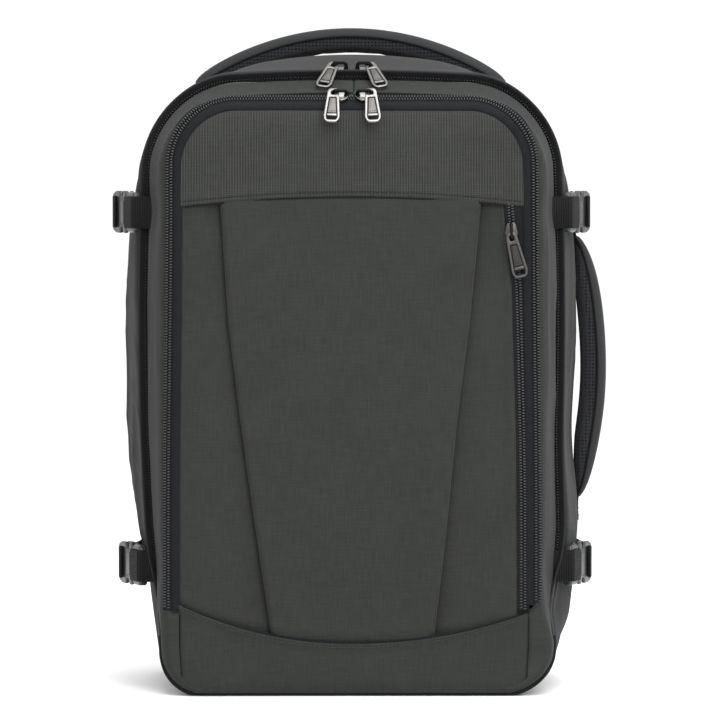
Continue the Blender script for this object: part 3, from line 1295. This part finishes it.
def handle(name, node, body, at, half_width, half_depth):
    """Grab handle: mesh padding between two bound edges, on sewn webbing feet."""
    p, t, full = handle_line(at)
    across = np.array([0, 1.0, 0])
    thick = np.cross(t, across)
    thick *= np.sign(np.sum(thick * (p - [0, p[0, 1], 250]), -1, keepdims=True))
    stations = [(c, across * half_width * 0.97 * mix(0.5, 1, f), k * mix(2.0, half_depth, f)) for c, k,
                f in zip(p, thick, full)]
    verts, faces = band(stations, 20, 0.8)
    pad = make(name, None, verts, faces, [MESH_CLOTH, EDGE_CLOTH])
    inflate(pad, voxel=2.6, cap=1.2)
    centres = np.array([f.center for f in pad.data.polygons], float) / MM
    nearest = np.argmin(np.linalg.norm(centres[:, None] - p[None], axis=-1), axis=1)
    height = np.sum((centres - p[nearest]) * unit(thick)[nearest], -1)
    pad.data.polygons.foreach_set("material_index", (height > 2.4 * full[nearest]).astype(np.int32))
    pad.data.update()
    settle(pad, body, node)
    for way, word in ((-1, "front"), (1, "rear")):
        line = (p + across * (way * half_width * 0.95 * mix(0.5, 1, full)[:, None])
                + unit(thick) * (2.4 * full[:, None]))
        a = np.linspace(0, 2 * math.pi, 11)[:-1]
        edge = np.stack([1.3 * np.cos(a), 1.1 * np.sin(a)], -1)
        strip(f"{name}_edge_{word}", body, line, frames_of(line, thick), edge, BINDING, slot="fabric_main")


EDGE_CLOTH = woven("edge_cloth", (0.021, 0.0214, 0.022), yarns=(((1, 0), 1.5, 0.4), ((0, 1), 1.5, 0.2)),
                   contrast=0.35)


def handle_foot(name, body, y, points, half):
    """Webbing from inside a handle's end down onto the skin, stitched across near its end."""
    path = arc([(x, y, z) for x, z in points], 6)
    path = resample(path, 1.2)
    t = unit(np.gradient(path, axis=0))
    out = np.cross(t, [0, 1.0, 0])
    out *= np.sign(out @ np.array([np.sign(path[0, 0]), 0, 0.35]))[:, None]
    flat = [(-half, 0), (-half + 0.5, 1.0), (half - 0.5, 1.0), (half, 0), (half - 0.5, -1.0),
            (0.5 - half, -1.0)]
    strip(name, body, path, frames_of(path, out), flat, WEB, slot="webbing")
    for k in (-4, -9):
        row = path[k] + out[k] * 1.2 + np.outer(np.linspace(2 - half, half - 2, 16), [0, 1.0, 0])
        stitches(f"{name}_stitch_{-k}", body, row, np.tile(out[k], (16, 1)), DARK_THREAD)


handle("top_grab_pad", "top_handle", "top_handle", top_handle_at, half_width=13.5, half_depth=9.6)
for side, word in SIDES:
    sewn = [(wall_x(74, z) + off, z) for z, off in ((457, 4.0), (445, 1.9), (432, 1.5), (420, 1.5))]
    handle_foot(f"top_handle_foot_{word}", "root", 74,
                [(side * x, z) for x, z in [(118, 475.5), (125, 471)] + sewn], 9)
handle("side_grab_pad", "side_handle", "side_handle", side_handle_at, half_width=15, half_depth=9.6)
for zs, word in (((347, 353, 361, 370), "upper"), ((153, 147, 138, 127), "lower")):
    points = [(wall_x(38, z) + off, z) for z, off in zip(zs, (5.2, 2.6, 1.7, 1.7))]
    handle_foot(f"side_handle_foot_{word}", "root", 38, points, 9)


def rounded_box(x0, z0, x1, z1, radius, near, far, steps=7):
    """Closed pad with rounded corners between two depths."""
    corners = ((x1 - radius, z0 + radius, -90), (x1 - radius, z1 - radius, 0),
               (x0 + radius, z1 - radius, 90), (x0 + radius, z0 + radius, 180))
    ring = np.array([(cx + radius * math.cos(math.radians(a0 + k * 90 / steps)),
                      cz + radius * math.sin(math.radians(a0 + k * 90 / steps)))
                     for cx, cz, a0 in corners for k in range(steps + 1)])
    rows = [np.stack([ring[:, 0], np.full(len(ring), y), ring[:, 1]], -1) for y in (near, far)]
    caps = np.array([range(len(ring))])
    return np.concatenate(rows), [grid_faces(2, len(ring), True), caps[:, ::-1], caps + len(ring)]


def edge_roll(name, body, ring, normal_y, radius, material, slot):
    """Bound edge round a pad, as a closed tube."""
    p = resample(np.concatenate([ring, ring[:1]]), 4.0)
    t, s, n = frames_of(p, np.tile([0, normal_y, 0.0], (len(p), 1)))
    a = np.linspace(0, 2 * math.pi, 9)[:-1]
    strip(name, body, p, (t, s, n), np.stack([radius * np.cos(a), radius * np.sin(a)], -1), material,
          slot=slot)


def back_pad(name, node, channels):
    (x0, near, z0), (x1, far, z1) = [np.array(c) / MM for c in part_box(node)]
    verts, faces = rounded_box(x0 + 2, z0 + 2, x1 - 2, z1 - 2, 22, near + 0.4, far - 1.2)
    pad = make(name, None, verts, faces, MESH_CLOTH)
    inflate(pad, voxel=5.0, cap=5.0)

    def move(co, n):
        out = co[:, 1] > near + 3
        edge = np.minimum(np.minimum(co[:, 0] - x0, x1 - co[:, 0]), np.minimum(co[:, 2] - z0, z1 - co[:, 2]))
        groove = sum(np.exp(-(((co[:, 2] - (c + 0.16 * np.abs(co[:, 0]))) / 3.2) ** 2)) for c in channels)
        depth = np.where(out, -3.6 * groove * smooth(4, 16, edge), 0)
        return np.stack([0 * depth, np.maximum(depth, near + 1.2 - co[:, 1]) * out, 0 * depth], -1)

    relieve(pad, move)
    settle(pad, "root", node)
    verts, _ = rounded_box(x0, z0, x1, z1, 24, near + 1.8, far)
    edge_roll(name + "_piping", "root", verts[:len(verts) // 2], 1.0, 1.7, BINDING, "zip_tape")


back_pad("back_mesh_left", "back_pad_left", channels=(215, 275, 335, 395))
back_pad("back_mesh_right", "back_pad_right", channels=(215, 275, 335, 395))
back_pad("lumbar_mesh", "lumbar_pad", channels=(98,))


def strap_line(side, count=48):
    """The shoulder strap's centre line by the same spline as the CAD part."""
    knots = np.array([(52, 444), (66, 390), (92, 310), (104, 230), (100, 168)], float)
    ends = np.concatenate([[2 * knots[0] - knots[1]], knots, [2 * knots[-1] - knots[-2]]])
    out = []
    for t in np.linspace(0, 4, count):
        k = min(int(t), 3)
        a, b, c, d = ends[k:k + 4]
        w = t - k
        out.append(0.5 * (2 * b + (c - a) * w + (2 * a - 5 * b + 4 * c - d) * w * w
                          + (3 * b - a - 3 * c + d) * w ** 3))
    line = np.array(out)
    return np.stack([side * line[:, 0], np.full(count, 111.0), line[:, 1]], -1)


def shoulder_strap(side, word):
    body = f"shoulder_strap_{word}"
    p = strap_line(side)
    t = unit(np.gradient(p, axis=0))
    half = np.linspace(31, 25, len(p))
    wide = unit(np.stack([-t[:, 2], 0 * half, t[:, 0]], -1))
    stations = [(c, w * (h - 2.4), np.array([0, 4.4, 0])) for c, w, h in zip(p, wide, half)]
    pad = make(f"strap_pad_{word}", None, *band(stations, 24, 0.6), MESH_CLOTH)
    inflate(pad, voxel=4.0, cap=2.2)
    settle(pad, body, f"shoulder_strap_{word}")
    for way, label in ((-1, "inner"), (1, "outer")):
        line = p + wide * (way * (half - 1.8))[:, None]
        a = np.linspace(0, 2 * math.pi, 9)[:-1]
        strip(f"strap_edge_{label}_{word}", body, line,
                frames_of(line, np.tile([0, 1.0, 0], (len(line), 1))),
              np.stack([2.4 * np.cos(a), 2.6 * np.sin(a)], -1), BINDING, slot="zip_tape")
    run = resample(p[6:], 1.0)
    flat = [(-10, 0), (-9.6, 0.7), (9.6, 0.7), (10, 0), (9.6, -0.6), (-9.6, -0.6)]
    strip(f"strap_webbing_{word}", body, run + [0, 6.0, 0],
          frames_of(run, np.tile([0, 1.0, 0], (len(run), 1))), flat, WEB, slot="webbing")
    for k, z in enumerate((205, 275, 345, 405)):
        i = int(np.argmin(np.abs(run[:, 2] - z)))
        bar = (run[i] + np.outer(np.linspace(-9, 9, 12),
                                 unit(np.cross([0, 1, 0], run[min(i + 3, len(run) - 1)] - run[i - 3]))))
        stitches(f"strap_bartack_{k}_{word}", body, bar + [0, 7.0, 0], np.tile([0, 1.0, 0], (12, 1)),
                 THREAD, pitch=1.3, length=1.1, thick=0.7)


for side, word in SIDES:
    shoulder_strap(side, word)

def neck(side, word):
    """Fabric between the harness yoke and the shoulder strap; it bends where the strap swings."""
    t = np.linspace(0, 1, 14)[:, None]
    s = np.linspace(-1, 1, 16)[None, :]
    centre, z, half = mix(49, 54, t), mix(461, 437, t), mix(34, 29, t)
    x = side * (centre + s * half)
    y = 109.5 + 2.2 * np.cos(s * math.pi / 2) + 0 * t
    p = np.stack(np.broadcast_arrays(x, y, z), -1)
    p = p if side < 0 else p[:, ::-1]
    sheet(f"strap_neck_{word}", ("root", f"shoulder_strap_{word}"), p, 2.6, FABRIC, slot="fabric_main",
          blend=((side * 50, 111, 457), (side * 53, 111, 440)))


lock_mesh = plate(rounded([(-16, -12), (16, -12), (16, 12), (-16, 12)], 3.0),
                  [rounded([(-13.2, -8), (13.2, -8), (13.2, -4), (-13.2, -4)], 1.2),
                   rounded([(-13.2, 3), (13.2, 3), (13.2, 7.6), (-13.2, 7.6)], 1.2)],
                  5.0, 1.6, "ladder_lock", PLASTIC, 3)
FLAT_WEB = [(-12.5, 0), (-12, 0.8), (12, 0.8), (12.5, 0), (12, -0.8), (-12, -0.8)]


def lower_strap(side, word):
    """Ladder lock, the webbing from it to the sewn tab, and its loose end."""
    strap = f"shoulder_strap_{word}"
    put(f"strap_lock_{word}", lock_mesh, strap, (side * 100, 111, 154), (1, 0, 0), (0, 0, 1),
        f"ladder_lock_{word}", "buckle_plastic")
    run = arc([(side * 100, 106.6, 162), (side * 100, 108, 150), (side * 100, 111.4, 146),
               (side * 101, 112, 130), (side * 112, 110, 108), (side * 130, 104.4, 84),
               (side * 140, 101, 62), (side * 142, 99.4, 48)], 5)
    p = resample(run, 2.0)
    t = unit(np.gradient(p, axis=0))
    wide = unit(np.stack([-t[:, 2], 0 * p[:, 0], t[:, 0]], -1) + [1e-6, 0, 0])
    strip(f"adjuster_webbing_{word}", ("root", strap), p, frames_of(p, unit(np.cross(t, wide))), FLAT_WEB,
          WEB, slot="webbing", replaces=f"lower_webbing_{word}",
          blend=((side * 134, 103, 78), (side * 101, 111, 134)))
    run = arc([(side * 100, 113.6, 163), (side * 100, 116.4, 156), (side * 101, 117.6, 132),
               (side * 99, 117.4, 112)], 8)
    p = resample(run, 2.0)
    t = unit(np.gradient(p, axis=0))
    strip(f"adjuster_tail_{word}", strap, p, frames_of(p, np.tile([0, 1.0, 0], (len(p), 1))), FLAT_WEB, WEB,
          slot="webbing")
    corners = [(side * x, z) for x, z in ((122, 70), (150, 84), (152, 40), (128, 34))]
    tab = plate(rounded(corners[::-side], 3), [], 3.0, 0.9, "anchor_tab", BASE)
    put(f"anchor_tab_{word}", tab, "root", (0, 97.2, 0), (1, 0, 0), (0, 0, 1), f"strap_anchor_{word}",
        "fabric_base")
    for k, share in enumerate((0.14, 0.86)):
        a, b = (np.array([side * x, 98.9, z]) for x,
                z in ((mix(123, 149.5, share), mix(66, 79, share)),
                      (mix(129, 150.5, share), mix(37, 42.5, share))))
        stitches(f"anchor_stitch_{k}_{word}", "root", np.linspace(a, b, 20), np.tile([0, 1.0, 0], (20, 1)),
                 THREAD)


for side, word in SIDES:
    neck(side, word)
    lower_strap(side, word)

# ------------------------------------------------------------------ back panel

def back_panel():
    """Fabric back with a piped edge."""
    u = np.linspace(0.151, 0.9995, 120)
    edge = outline(REAR_Y, u)
    s = np.linspace(-1, 1, 90)[None, :]
    half = np.where(s < 0, -outline(REAR_Y, -u)[:, :1], edge[:, :1])
    x = s * half
    z = np.broadcast_to(edge[:, 2:], x.shape)
    inset = np.minimum(half - np.abs(x), np.minimum(z - 3, 487 - z))
    y = REAR_Y + 6.4 * smooth(0, 14, inset) + 0.5 * noise(np.stack([x, 0 * x, z], -1), (60, 1, 60), 61)
    p = np.stack([x, y, z], -1)
    sheet("back_fabric", "root", p[:, ::-1], 3.0, BASE, LINING, np.stack([x, z], -1)[:, ::-1],
          replaces="back_panel", slot="fabric_base")
    loop = np.concatenate([np.linspace(0.0005, 0.9995, 300), -np.linspace(0.9995, 0.0005, 300)])
    ring = outline(REAR_Y - 0.5, loop)
    ring[:, 1] += 0.4
    p = resample(np.concatenate([ring, ring[:1]]), 4.0)
    n = unit(p - [0, REAR_Y, 250.0])
    a = np.linspace(0, 2 * math.pi, 11)[:-1]
    strip("back_piping", "root", p, frames_of(p, n), np.stack([2.2 * np.cos(a), 0.4 + 2.2 * np.sin(a)], -1),
          BINDING, slot="zip_tape")


back_panel()


def harness_root():
    verts, faces = rounded_box(-80, 455, 80, 477, 9, 96.2, 108)
    pad = make("harness_pad", None, verts, faces, MESH_CLOTH)
    inflate(pad, voxel=4.0, cap=2.5)
    settle(pad, "root", "harness_yoke")


harness_root()

# ------------------------------------------------------------------ inside

def pocket_wall(name, body, half, low, high, depth, bulge, way, node, slot, material=LINING, thick=1.8):
    """Slip pocket or wall: a fabric sheet that bellies out, bound along its top."""
    s = np.linspace(-1, 1, 60)[None, :]
    t = np.linspace(0, 1, 60)[:, None]
    z = mix(low, high, t) + 0 * s
    x = s * half * (1 - 0.13 * smooth(45, 9, z))
    belly = (1 - s ** 4) * np.sin(np.pi * mix(0.08, 0.72, t)) * bulge
    y = depth + way * (belly + 0.8 * noise(np.stack([x, 0 * x, z], -1), (50, 1, 50), 71))
    p = np.stack([x, y, z], -1)
    uv = np.stack([x, z], -1)
    sheet(name, body, p[:, ::-way], thick, material, material, uv[:, ::-way], replaces=node, slot=slot)
    top = p[-1]
    a = np.linspace(0, 2 * math.pi, 11)[:-1]
    profile = np.stack([2.0 * np.cos(a), 4.0 * np.sin(a)], -1)
    strip(name + "_binding", body, top - [0, way * thick / 2, 1.0],
          frames_of(top, np.tile([0, 0, 1.0], (len(top), 1))), profile, BINDING, slot="zip_tape")


pocket_wall("laptop_sleeve_wall", "root", 145, 9, 326, 69.5, 3.0, -1, "laptop_sleeve", "lining", thick=2.6)
pocket_wall("organiser_wall", "lid", 108, 72, 246, -66.5, 6.0, -1, "organiser_pocket", "lining")


def divider():
    """Wall between the front pocket and the main compartment."""
    u = np.linspace(0.155, 0.9995, 90)
    edge = outline(-62.5, -u) * [-1, 1, 1]
    s = np.linspace(-1, 1, 60)
    x = s[None, :] * (edge[:, :1] - 4.4)
    z = np.broadcast_to(np.clip(edge[:, 2:], 6, 999) - 4.5 * smooth(0.84, 0.9, u)[:, None], x.shape)
    z = np.maximum(z, 48 + 0 * z)
    y = -61.2 + 0.4 * noise(np.stack([x, 0 * x, z], -1), (60, 1, 60), 75)
    keep = z[:, 0] > 48.5
    p, uv = np.stack([x, y, z], -1)[keep], np.stack([x, z], -1)[keep]
    sheet("divider_wall", "lid", p[:, ::-1], 1.4, LINING, LINING, uv[:, ::-1], replaces="pocket_divider",
          slot="lining")


divider()


def flap_pocket():
    """Flat bag behind the side zip, sewn to the cover's inside."""
    s = np.linspace(0, 1, 40)[None, :]
    t = np.linspace(0, 1, 60)[:, None]
    x, z = mix(24, 111, s) + 0 * t, mix(97, 358, t) + 0 * s
    body = np.sin(np.pi * np.clip(s, 0.04, 0.96)) ** 0.4 * np.sin(np.pi * np.clip(t, 0.03, 0.97)) ** 0.4
    y = -100.2 + 2.2 * body + 0.4 * noise(np.stack([x, 0 * x, z], -1), (40, 1, 40), 77)
    p, uv = np.stack([x, y, z], -1), np.stack([x, z], -1)
    sheet("flap_pocket_bag", "flap", p[:, ::-1], 1.2, LINING, LINING, uv[:, ::-1],
          replaces="side_pocket_liner", slot="lining")


flap_pocket()

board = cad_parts["frame_sheet"]
board.data.materials.clear()
board.data.materials.append(BOARD)

# ------------------------------------------------------------------ camera, lights and floor

def aim(obj, at, target):
    obj.location = at
    obj.rotation_euler = (Vector(target) - Vector(at)).to_track_quat("-Z", "Y").to_euler()


camera = bpy.data.objects.new("camera", bpy.data.cameras.new("camera"))
bpy.context.scene.collection.objects.link(camera)
camera.data.lens, camera.data.sensor_width = 254.6, 36
aim(camera, (-0.0252, -4.046, 0.4333), (0.0065, -0.05, 0.2589))
bpy.context.scene.camera = camera
bpy.context.scene.view_settings.view_transform = "Standard"


def soft_light(name, at, target, width, height, watts, colour=(1, 1, 1)):
    data = bpy.data.lights.new(name, "AREA")
    data.shape = "RECTANGLE"
    data.size, data.size_y, data.energy, data.color = width, height, watts, colour
    obj = bpy.data.objects.new(name, data)
    bpy.context.scene.collection.objects.link(obj)
    aim(obj, at, target)


soft_light("key", (0.95, -2.9, 1.8), (0, 0, 0.25), 2.4, 2.2, 92)
soft_light("top", (0.3, -0.5, 2.3), (0, 0, 0.3), 1.8, 1.4, 46)

world = bpy.data.worlds.new("studio")
world.use_nodes = True
world.node_tree.nodes["Background"].inputs["Color"].default_value = (1, 1, 1, 1)
world.node_tree.nodes["Background"].inputs["Strength"].default_value = 1.06
bpy.context.scene.world = world

pale = Graph("floor_pale", (0.96, 0.96, 0.96), 0.65)
pale.set("Roughness", pale.math("ADD", pale.math("MULTIPLY", pale.noise(120, 2.0), 0.05), 0.6))
floor_mesh = bpy.data.meshes.new("floor")
work = bmesh.new()
bmesh.ops.create_circle(work, cap_ends=True, segments=96, radius=14)
work.to_mesh(floor_mesh)
work.free()
floor_mesh.materials.append(pale.material)
floor = bpy.data.objects.new("floor", floor_mesh)
bpy.context.scene.collection.objects.link(floor)
floor.location.z = cad_box[0][2] - 0.0005
